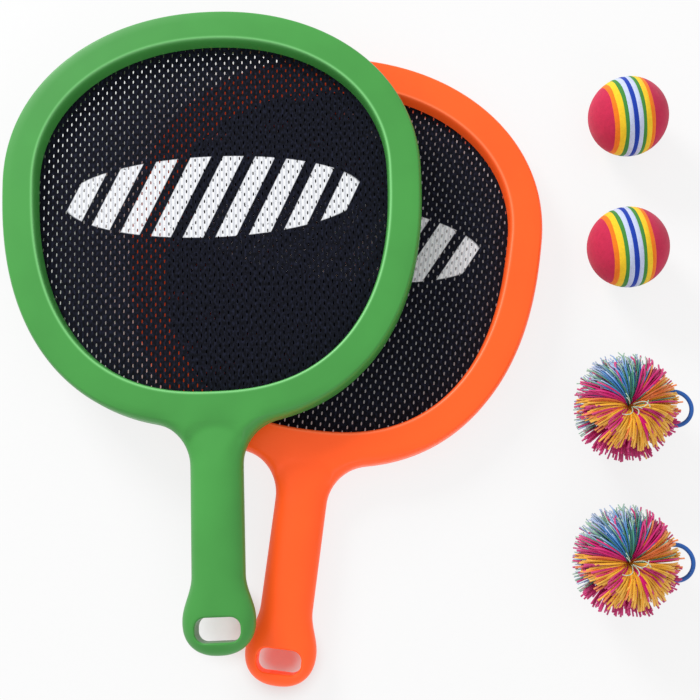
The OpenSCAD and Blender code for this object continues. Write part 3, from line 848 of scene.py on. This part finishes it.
def screw_places():
    """Places of the screws in a racket's own plan: round the rim, and along the straight of the handle."""
    turn = np.radians(90 + 360 * (np.arange(RIM_SCREWS) + 0.5) / RIM_SCREWS)
    share = (np.arange(HANDLE_SCREWS) + 0.5) / HANDLE_SCREWS
    shaft = np.stack([np.zeros(HANDLE_SCREWS), NECK_C[1] + (FLARE_TOP_Y - NECK_C[1]) * share], axis=-1)
    return np.concatenate([head_inset(turn, SCREW_INSET), shaft])


def turned_bars(name, place, profile):
    """Closed bars on the screw places of a back half: one profile of radius and depth, turned about each."""
    radius, depth = np.array(profile).T
    a = 2 * np.pi * np.arange(BAR_SIDES) / BAR_SIDES
    ring = np.stack([np.cos(a), np.sin(a), np.zeros(BAR_SIDES)], axis=-1)
    bar = radius[:, None, None] * ring + depth[:, None, None] * np.array([0.0, 0.0, -1.0])
    work = Patchwork()
    for x, y in screw_places():
        work.grid(bar + (x, y, 0.0), closed=True)
    points, faces, _ = work.arrays()
    return finish_mesh(name, placed(points, place), faces, None)


def seat_screws(half, place):
    """Adds the screw bosses to a back half and cuts the sunk seats and the shank holes into it."""
    top, seat = FRAME_T / 2, FRAME_T / 2 - SEAT_DEPTH
    low, high = BOSS_FOOT, top - SHELL_WALL / 2
    boss = turned_bars("boss_bars", place, [(0, low), (BOSS_R, low), (BOSS_R, high), (0, high)])
    low, high = -CUT_OVER, top + CUT_OVER
    cut = [(0, low), (SHANK_R, low), (SHANK_R, seat), (SEAT_R, seat), (SEAT_R, high), (0, high)]
    cutter = turned_bars("seat_bars", place, cut)
    for operation, tool in (("UNION", boss), ("DIFFERENCE", cutter)):
        modifier = half.modifiers.new(operation.lower(), "BOOLEAN")
        modifier.operation = operation
        modifier.solver = "EXACT"
        modifier.object = tool
    graph = bpy.context.evaluated_depsgraph_get()
    mesh = bpy.data.meshes.new_from_object(half.evaluated_get(graph))
    half.modifiers.clear()
    half.data = mesh
    mesh.set_sharp_from_angle(angle=math.radians(SHARP_ANGLE))
    for tool in (boss, cutter):
        bpy.data.objects.remove(tool)


def make_frames():
    """Front and back halves of both rackets' frames."""
    rackets = (("green", GREEN_PLACE, GREEN_PLASTIC), ("orange", ORANGE_PLACE, ORANGE_PLASTIC))
    for racket, place, material in rackets:
        for side in ("front", "back"):
            node = f"{racket}_{side}_frame"
            half = moulded_half(f"{node}_shell", place, side == "back", material)
            if side == "back":
                seat_screws(half, place)
            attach(half, f"{racket}_racket")
            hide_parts(node)


MESH_MIDDLE = np.array([0.0, (HEAD_RISE - HEAD_DROP) / 2])


def hem_line():
    """Edge of the mesh sheet, tucked into the slit."""
    return head_inset(np.linspace(0, 2 * np.pi, HEM_N, endpoint=False), RIM_W - MESH_TUCK)


def hem_share(p):
    """How far out points lie on the rays from the head's middle, as a share of the hem's own distance."""
    ray, rim = p - MESH_MIDDLE, hem_line() - MESH_MIDDLE
    rim_turn = np.arctan2(rim[:, 1], rim[:, 0])
    order = np.argsort(rim_turn)
    turn = np.arctan2(ray[..., 1], ray[..., 0])
    reach = np.interp(turn, rim_turn[order], np.hypot(*rim.T)[order], period=2 * np.pi)
    return np.hypot(ray[..., 0], ray[..., 1]) / reach


def woven_sheet(name, place):
    """Mesh sheet in the slit of the frame: bricks in staggered rows, each with an eight-sided slit cut
    through, thinner at the slit. Bricks that cross the hem are drawn in onto it and have no slit."""
    rows = np.arange(math.floor(-HEAD_DROP / WEAVE_ROW), math.ceil(HEAD_RISE / WEAVE_ROW) + 1)
    columns = np.arange(-math.ceil(HEAD_W / 2 / WEAVE_COLUMN), math.ceil(HEAD_W / 2 / WEAVE_COLUMN) + 1)
    row, column = (a.ravel() for a in np.meshgrid(rows, columns, indexing="ij"))
    centre = np.stack([(column + 0.5 * (row % 2)) * WEAVE_COLUMN, row * WEAVE_ROW], axis=-1)[:, None]
    corner = np.array([(1, 0), (1, 1), (0, 1), (-1, 1), (-1, 0), (-1, -1), (0, -1), (1, -1)])
    ring = np.array([(1, 0), (0.8, 0.7), (0, 1), (-0.8, 0.7), (-1, 0), (-0.8, -0.7), (0, -1), (0.8, -0.7)])
    outer = centre + corner * (WEAVE_COLUMN / 2, WEAVE_ROW / 2)
    hole = centre + ring * (WEAVE_SLIT_W / 2, WEAVE_SLIT_L / 2)
    share = hem_share(outer)
    inside = (share < 1).any(axis=1)
    outer, hole, share = outer[inside], hole[inside], share[inside]
    outer = MESH_MIDDLE + (outer - MESH_MIDDLE) / np.maximum(1, share)[..., None]
    cut = (hem_share(hole) < SLIT_LIMIT).all(axis=1)
    spots = outer.reshape(-1, 2)
    _, first, index = np.unique(spots.round(4), axis=0, return_index=True, return_inverse=True)
    plan = spots[first]
    index = index.reshape(-1, 8)
    n, slits = len(plan), hole[cut].reshape(-1, 2)
    level = np.insert(plan, 2, MESH_T / 2, axis=1)
    top = np.concatenate([level, np.insert(slits, 2, WEAVE_SLIT_T / 2, axis=1)])
    points = np.concatenate([top, top * (1, 1, -1)])
    half = len(top)
    o, o_next = index, np.roll(index, -1, axis=1)
    h = n + np.arange(len(slits)).reshape(-1, 8)
    h_next = np.roll(h, -1, axis=1)
    upper = np.stack([o[cut], o_next[cut], h_next, h], axis=-1).reshape(-1, 4)
    wall = np.stack([h, h_next, h_next + half, h + half], axis=-1).reshape(-1, 4)
    plain = index[~cut]
    a, b = o.ravel(), o_next.ravel()
    rim = ~np.isin(a * n + b, b * n + a)
    hem = np.stack([a[rim] + half, b[rim] + half, b[rim], a[rim]], axis=-1)
    faces = [upper, upper[:, ::-1] + half, wall, hem, plain, plain[:, ::-1] + half]
    flat = np.concatenate([top, top])[:, :2] * MM
    front = {"front": np.repeat([1.0, 0.0], half)}
    return finish_mesh(name, placed(points, place), faces, MESH_CLOTH, values=front, cut=flat, weld=False)


def make_meshes():
    """Both mesh faces, each a sheet in the slit of its rim."""
    for racket, place in (("green", GREEN_PLACE), ("orange", ORANGE_PLACE)):
        node = f"{racket}_mesh_face"
        piece = woven_sheet(f"{racket}_mesh_cloth", place)
        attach(piece, f"{racket}_racket")
        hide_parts(node)


def ball_axes():
    """Axis of the foam layers, and two directions across it."""
    turn, dip = math.radians(BALL_TURN), math.radians(BALL_DIP)
    axis = np.array([math.cos(dip) * math.cos(turn), math.cos(dip) * math.sin(turn), math.sin(dip)])
    across = np.cross(axis, (0, 0, 1))
    across = across / np.linalg.norm(across)
    return axis, across, np.cross(axis, across)


SHEET_ENDS = np.cumsum([0.0] + [SHEET_T[layer.split("_")[0]] for layer in BALL_LAYERS[1:-1]])
LAYER_FACES = SHEET_ENDS - SHEET_ENDS[-1] / 2 - STACK_SHIFT


def foam_layer(name, k, i):
    """One foam sheet of a ball, turned to the sphere: radius = root of (R squared less height squared) about
    the layer axis, a shallow groove at each glued seam, seams that wander a little, and flat glued faces.
    Rows lie closer near the seams."""
    radius = BALL_D / 2
    last = len(BALL_LAYERS) - 1
    around = np.linspace(0, 2 * np.pi, BALL_COLUMNS, endpoint=False)
    share = np.array([0, 0.04, 0.1, 0.2, 0.35, 0.5, 0.65, 0.8, 0.9, 0.96, 1])
    if i in (0, last):
        end = math.acos(abs(LAYER_FACES[0 if i == 0 else -1]) / radius)
        bend = end * (1 - (1 - np.linspace(0, 1, CAP_ROWS)) ** 1.5)
        share = (1 - np.cos(bend)) / (1 - math.cos(end))
    if i == last:
        share = 1 - share[::-1]

    def seam(j):
        """Height of seam j all round the ball, or of the pole at either end of the stack."""
        if j in (0, last + 1):
            return np.full_like(around, (-1 if j == 0 else 1) * radius)
        wander = np.sin(3 * around + 1.7 * j) + 0.6 * np.sin(7 * around + 2.3 * j)
        return LAYER_FACES[j - 1] + SEAM_WANDER * wander

    low, high = seam(i), seam(i + 1)
    height = low + (high - low) * share[:, None]
    r = np.sqrt(np.maximum(0, radius ** 2 - height ** 2))
    gap = np.minimum(height - low if i > 0 else radius, high - height if i < last else radius)
    r = np.maximum(0, r - SEAM_DEPTH * np.exp(-(gap / SEAM_W) ** 2))
    height = np.concatenate([height[:1], height, height[-1:]])
    r = np.concatenate([r[:1] * 0, r, r[-1:] * 0])
    mean = height.mean(axis=1, keepdims=True)
    height[[0, -1]] = mean[[0, -1]]
    axis, side, up = ball_axes()
    ring = np.cos(around)[:, None] * side + np.sin(around)[:, None] * up
    centre = np.array([*BALL_PLACES[k], radius])
    points = centre + height[..., None] * axis + r[..., None] * ring
    rows, columns = height.shape
    return finish_mesh(name, points.reshape(-1, 3), [grid_faces(rows, columns, closed=True)],
                       FOAMS[BALL_LAYERS[i].split("_")[0]], sharp=FOAM_SHARP)


def make_balls():
    """Both foam balls, one piece for each layer."""
    for k in (0, 1):
        for i, layer in enumerate(BALL_LAYERS):
            node = f"ball_{k + 1}_{layer}"
            piece = foam_layer(f"{node}_foam", k, i)
            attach(piece, f"ball_{k + 1}")
            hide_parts(node)


def strand_colour(azimuth, crown, pick):
    """Colour number of each strand, from its direction and a random pick among its sector's shares."""
    sectors = CROWN_SECTORS if crown else SKIRT_SECTORS
    degrees = np.degrees(azimuth)
    degrees = np.where(degrees > 180, degrees - 360, degrees)
    starts = np.array([start for start, _ in sectors])
    sums = np.cumsum([shares for _, shares in sectors], axis=1)
    which = (np.searchsorted(starts, degrees, side="right") - 1) % len(starts)
    return (pick[:, None] > sums[which]).sum(axis=1).clip(0, len(STRAND_COLOURS) - 1)


def strand_layer(rng, clumps, tips, crown):
    """Azimuth, tip elevation and colour of one layer's strands: clumps at steps of the golden angle, whose
    strands share a direction and mostly a colour. Towards the front, where sin(azimuth) falls, the crown's
    tips rise and draw together, and the skirt's spread upwards. Towards the back colours mix more."""
    azimuth = np.arange(clumps) * math.pi * (3 - math.sqrt(5))
    low, high = (math.radians(v) for v in tips)
    tip = rng.uniform(low, high, clumps)
    pick = rng.random(clumps)
    azimuth, tip, pick = (np.repeat(v, STRANDS_IN_CLUMP) for v in (azimuth, tip, pick))
    n = len(azimuth)
    azimuth = np.mod(azimuth + rng.normal(0, CLUMP_TURN, n), 2 * np.pi)
    tip = tip + rng.normal(0, CLUMP_TILT, n)
    front = (0.3 - 1.5 * np.sin(azimuth)).clip(0, 1)
    if crown:
        tip = tip * (1 - CROWN_GATHER * front) + math.radians(CROWN_LIFT) * front
    else:
        tip = tip + (tip - low) * SKIRT_STRETCH * front
    alike = CLUMP_ALIKE - BACK_MIX * np.sin(azimuth).clip(0, 1)
    pick = np.where(rng.random(n) < alike, pick, rng.random(n))
    return azimuth, tip, strand_colour(azimuth, crown, pick)


def strand_lines(rng, azimuth, tip, crown):
    """Lines of strands: a cubic curve from the tie to a tip on a flattened ball, with a random reach and
    sway that vary more towards the back. Crown strands first rise steeply round the dimple and then bend
    over, and skirt strands run straight out. Near the loop the lines keep clear of its swing, and none goes
    into the floor."""
    n = len(azimuth)
    spiky = np.sin(azimuth).clip(0, 1)
    side = np.where(tip > 0, 1.0, -1.0)
    reach = rng.normal(1.0 - 0.03 * crown, 0.03 + 0.04 * spiky, n).clip(0.86, 1.06)
    if crown:
        steep = math.radians(CROWN_STEEP)
        root = (rng.uniform(0.4, 2.0, n), rng.uniform(4.0, 7.0, n))
        bends = ((np.full(n, steep), 1.05), (tip + 0.42 * (steep - tip), 1.06), (tip, 1.0))
    else:
        root = (rng.uniform(0.5, 2.5, n), side * rng.uniform(1.0, 4.0, n))
        bends = ((0.6 * tip, 0.35), (tip, 0.7), (tip, 1.0))
    far = [root[0]] + [TUFT_R * reach * share * np.cos(angle) for angle, share in bends]
    high = [root[1]] + [TUFT_MID * reach * share * np.sin(angle) for angle, share in bends]
    k = np.linspace(0, 1, STRAND_POINTS)
    weights = np.stack([(1 - k) ** 3, 3 * k * (1 - k) ** 2, 3 * k * k * (1 - k), k ** 3])
    r = np.stack(far, axis=-1) @ weights
    z = np.stack(high, axis=-1) @ weights
    loose = (0.6 + 1.4 * spiky)[:, None]
    sway = loose * (rng.normal(0, 0.8, (n, 1)) * np.sin(np.pi * k) * k + rng.normal(0, 0.7, (n, 1)) * k * k)
    c, s = np.cos(azimuth)[:, None], np.sin(azimuth)[:, None]
    x = (r * c - sway * s) * TUFT_SQUEEZE
    y = r * s + sway * c
    swing = math.radians(LOOP_SWING)
    spare = LOOP_ROOM + STRAND_R
    room = np.maximum(CORD_R, (x - LOOP_PIVOT_X) * math.tan(swing) + CORD_R / math.cos(swing)) + spare
    beside = np.abs(y) - LOOP_W / 2 - 2.5 * spare
    near = (x > LOOP_PIVOT_X - 5 * CORD_R - spare) * (1 - beside / 3).clip(0, 1)
    side = side[:, None]
    z = z + side * near * np.maximum(0, room - side * z)
    return np.stack([x, y, np.maximum(TUFT_MID + z, STRAND_R + FLOOR_ROOM)], axis=-1)


def stray_lines(rng):
    """A few thin loose strands that curl out of the dimple."""
    k = np.linspace(0, 1, STRAND_POINTS)
    turn = rng.uniform(0, 2 * np.pi, (STRAYS, 1)) + rng.normal(0, 0.8, (STRAYS, 1)) * k * k
    r = 1.0 + rng.uniform(0.4, 1.0, (STRAYS, 1)) * STRAY_REACH * k
    z = STRAY_ROOT + rng.uniform(7.0, 10.0, (STRAYS, 1)) * np.sin(0.62 * np.pi * k)
    return np.stack([r * np.cos(turn), r * np.sin(turn), z], axis=-1)


def tubes(lines, radius):
    """Bars along lines, with flat ends. Gives points, faces and how far along its bar each point is."""
    sides = STRAND_SIDES
    n, steps = lines.shape[:2]
    tangent = np.gradient(lines, axis=1)
    tangent /= np.linalg.norm(tangent, axis=-1, keepdims=True)
    level = np.cross(tangent, (0.0, 0.0, 1.0))
    flat = np.stack([-lines[:, -1, 1], lines[:, -1, 0], np.zeros(n)], axis=-1)[:, None]
    level = np.where(np.linalg.norm(level, axis=-1, keepdims=True) > 0.05, level, flat)
    level /= np.linalg.norm(level, axis=-1, keepdims=True)
    up = np.cross(tangent, level)
    a = 2 * np.pi * np.arange(sides) / sides
    ring = np.cos(a)[:, None] * level[:, :, None] + np.sin(a)[:, None] * up[:, :, None]
    points = lines[:, :, None] + radius[:, None, None, None] * ring
    first = np.arange(n)[:, None, None] * steps * sides
    quads = (first + grid_faces(steps, sides, closed=True)[None]).reshape(-1, 4)
    root = first[:, 0] + np.arange(sides)
    faces = [quads, root[:, ::-1], root + (steps - 1) * sides]
    along = np.broadcast_to(np.linspace(0, 1, steps)[None, :, None], (n, steps, sides))
    return points.reshape(-1, 3), faces, along.ravel()


def make_tuft(k):
    """Strands of one ball: a crown and a skirt, one piece for each colour, and the strays with the green."""
    rng = np.random.default_rng(STRAND_SEED)
    lines, colours = [], []
    for clumps, tips, crown in ((CROWN_CLUMPS, CROWN_TIPS, True), (SKIRT_CLUMPS, SKIRT_TIPS, False)):
        azimuth, tip, colour = strand_layer(rng, clumps, tips, crown)
        lines.append(strand_lines(rng, azimuth, tip, crown))
        colours.append(colour)
    lines.append(stray_lines(rng))
    colours.append(np.full(STRAYS, STRAND_COLOURS.index("green")))
    lines, colours = np.concatenate(lines), np.concatenate(colours)
    n = len(lines)
    stray = np.arange(n) >= n - STRAYS
    slim = np.isin(colours, [STRAND_COLOURS.index(word) for word in ("blue", "green")])
    share = np.where(stray, STRAY_SHARE, np.where(slim, SLIM_SHARE, BOLD_SHARE))
    radius = STRAND_R * rng.uniform(0.88, 1.08, n) * share
    tone = rng.random(n)
    lines = lines + (*TUFT_PLACES[k], 0.0)
    for c, word in enumerate(STRAND_COLOURS):
        mine = colours == c
        points, faces, along = tubes(lines[mine], radius[mine])
        each = len(along) // mine.sum()
        along = np.where(np.repeat(stray[mine], each), 2.0, along)
        values = {"along": along, "tone": np.repeat(tone[mine], each)}
        node = f"tuft_{k + 1}_{word}_strands"
        piece = finish_mesh(f"{node}_cut", points, faces, STRAND_RUBBERS[word], values=values, weld=False)
        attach(piece, f"tuft_{k + 1}")
        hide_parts(node)


def loop_line():
    """Closed centre line of a finger loop in plan: cross-bar, two tight bends, two legs and a half-round
    end."""
    leg = LOOP_W / 2 - CORD_R
    bend = 2 * CORD_R
    end_x = LOOP_REACH - CORD_R - leg
    start_x = LOOP_PIVOT_X + bend
    a = np.linspace(np.pi, np.pi / 2, 9)
    corner = np.stack([start_x + bend * np.cos(a), leg - bend + bend * np.sin(a)], axis=-1)
    straight = np.stack([np.linspace(start_x, end_x, 10)[1:-1], np.full(8, leg)], axis=-1)
    a = np.linspace(np.pi / 2, 0, 17)
    end = np.stack([end_x + leg * np.cos(a), leg * np.sin(a)], axis=-1)
    bar = np.stack([np.full(4, LOOP_PIVOT_X), np.linspace(0, leg - bend, 5)[:-1]], axis=-1)
    upper = np.concatenate([bar, corner, straight, end])
    return np.concatenate([upper, upper[-2:0:-1] * (1, -1)])


def make_loop(k):
    """Rubber cord swept along the loop's line, with a faint moulding seam on its outer side."""
    line = loop_line()
    tangent = np.roll(line, -1, axis=0) - np.roll(line, 1, axis=0)
    tangent /= np.linalg.norm(tangent, axis=-1, keepdims=True)
    across = np.stack([tangent[:, 1], -tangent[:, 0], np.zeros(len(line))], axis=-1)
    a = 2 * np.pi * np.arange(CORD_SIDES) / CORD_SIDES
    radius = CORD_R * (1 - CORD_SEAM_DEPTH * np.exp(-(np.sin(a / 2) / CORD_SEAM_W) ** 2))
    centre = np.insert(line, 2, TUFT_MID, axis=1) + (*TUFT_PLACES[k], 0.0)
    up = np.array([0.0, 0.0, 1.0])
    ring = (radius * np.cos(a))[:, None] * across[:, None] + (radius * np.sin(a))[:, None] * up
    points = centre[:, None] + ring
    points = np.concatenate([points, points[:1]])
    faces = [grid_faces(len(points), len(a), closed=True)]
    node = f"tuft_{k + 1}_loop"
    piece = finish_mesh(f"{node}_cord", points.reshape(-1, 3), faces, LOOP_RUBBER)
    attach(piece, f"finger_loop_{k + 1}")
    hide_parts(node)


def paint_nodes():
    """Materials of the CAD nodes that are shown as they are: hoops, screws and tie bands."""
    hoop = plain_rubber("hoop_plastic", srgb(24, 24, 28), roughness=0.4)
    band = plain_rubber("band_rubber", srgb(60, 60, 64), roughness=0.5)
    screw = steel("screw_steel")
    for name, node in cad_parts.items():
        for ending, material in (("_mesh_hoop", hoop), ("_tie_band", band), ("_screws", screw)):
            if name.endswith(ending):
                node.data.materials.clear()
                node.data.materials.append(material)


def make_camera():
    """Stands over the handles and leans back, with the photograph's up along +Y."""
    data = bpy.data.cameras.new("camera")
    data.sensor_width = SENSOR_W
    data.lens = CAMERA_LENS
    camera = bpy.data.objects.new("camera", data)
    camera.location = [v * MM for v in CAMERA_AT]
    camera.rotation_euler = (math.radians(CAMERA_LEAN), math.radians(CAMERA_ROLL), 0.0)
    bpy.context.scene.collection.objects.link(camera)
    bpy.context.scene.camera = camera


def outside_spot(p, place, racket, y, radii):
    """0 on the floor within the first radius of the spot under a racket's own point (0, y), and 1 from the
    second."""
    spot = placed(np.array([[0.0, y, 0.0]]), racket)[0] * (MM, MM, 0.0)
    far = p.add("ShaderNodeVectorMath", {"operation": "DISTANCE"}, {0: place, 1: tuple(spot)}, out="Value")
    return p.step(far, radii[0] * MM, radii[1] * MM)


def make_floor():
    """Pale floor. The camera and mirrors see it mostly white, with part of its real shade left for shadows,
    and more or all of that shade under the heads and the hanging slots."""
    corners = FLOOR_HALF_W * np.array([[-1, -1, 0], [1, -1, 0], [1, 1, 0], [-1, 1, 0]]) - (0, 0, FLOOR_DROP)
    p = Paint("floor_paper")
    place = p.place()
    grain = p.noise(place, scale=300.0)
    p.surface(
        Base_Color=p.mix(FLOOR_DARK, FLOOR_LIGHT, grain),
        Roughness=0.9,
        Specular_IOR_Level=0.1,
    )
    rays = p.add("ShaderNodeLightPath").socket.node.outputs
    seen = Value(p, rays["Is Camera Ray"]) + Value(p, rays["Is Glossy Ray"])
    seen = seen + Value(p, rays["Is Transmission Ray"])
    glow = p.add("ShaderNodeEmission", inputs={"Color": (1.0, 1.0, 1.0), "Strength": 1.0})
    share = seen.math("MINIMUM", 1.0) * FLOOR_GLOW
    rackets = (GREEN_PLACE, ORANGE_PLACE)
    for racket in rackets:
        share = share * outside_spot(p, place, racket, SLOT_Y, SLOT_SHADE)
    green, orange = (outside_spot(p, place, racket, MESH_MIDDLE[1], HEAD_SHADE) for racket in rackets)
    outside_both = green * orange
    outside_one = (green + orange).math("MINIMUM", 1.0)
    share = share * (outside_both + HEAD_GLOW * (outside_one - outside_both))
    both = p.add("ShaderNodeMixShader", inputs={0: share, 1: Value(p, p.shader.outputs[0]), 2: glow})
    p.tree.links.new(both.socket, p.tree.nodes["Material Output"].inputs["Surface"])
    floor = finish_mesh("floor", corners, [np.array([[0, 1, 2, 3]])], p.material, weld=False)


def add_lamp(name, place, size, power):
    """Square area lamp that points at the middle of the set."""
    data = bpy.data.lights.new(name, "AREA")
    data.shape = "SQUARE"
    data.size = size
    data.energy = power
    lamp = bpy.data.objects.new(name, data)
    lamp.location = place
    lamp.rotation_mode = "QUATERNION"
    lamp.rotation_quaternion = (-lamp.location).to_track_quat("-Z", "Y")
    bpy.context.scene.collection.objects.link(lamp)


def make_light():
    """Soft studio light: a lamp on the upper left, a weak broad one on the near right, and an even white
    world. Both lamps stand where the flat of the rims doesn't mirror them."""
    add_lamp("key_lamp", *KEY_LAMP)
    add_lamp("fill_lamp", *FILL_LAMP)
    world = bpy.data.worlds.new("studio")
    bpy.context.scene.world = world
    world.use_nodes = True
    sky = world.node_tree.nodes["Background"].inputs
    sky["Color"].default_value = (1.0, 1.0, 1.0, 1.0)
    sky["Strength"].default_value = WORLD_STRENGTH


make_camera()
make_floor()
make_light()
make_frames()
make_meshes()
make_balls()
for number in (0, 1):
    make_tuft(number)
    make_loop(number)
paint_nodes()

bpy.context.scene.view_settings.view_transform = "Standard"
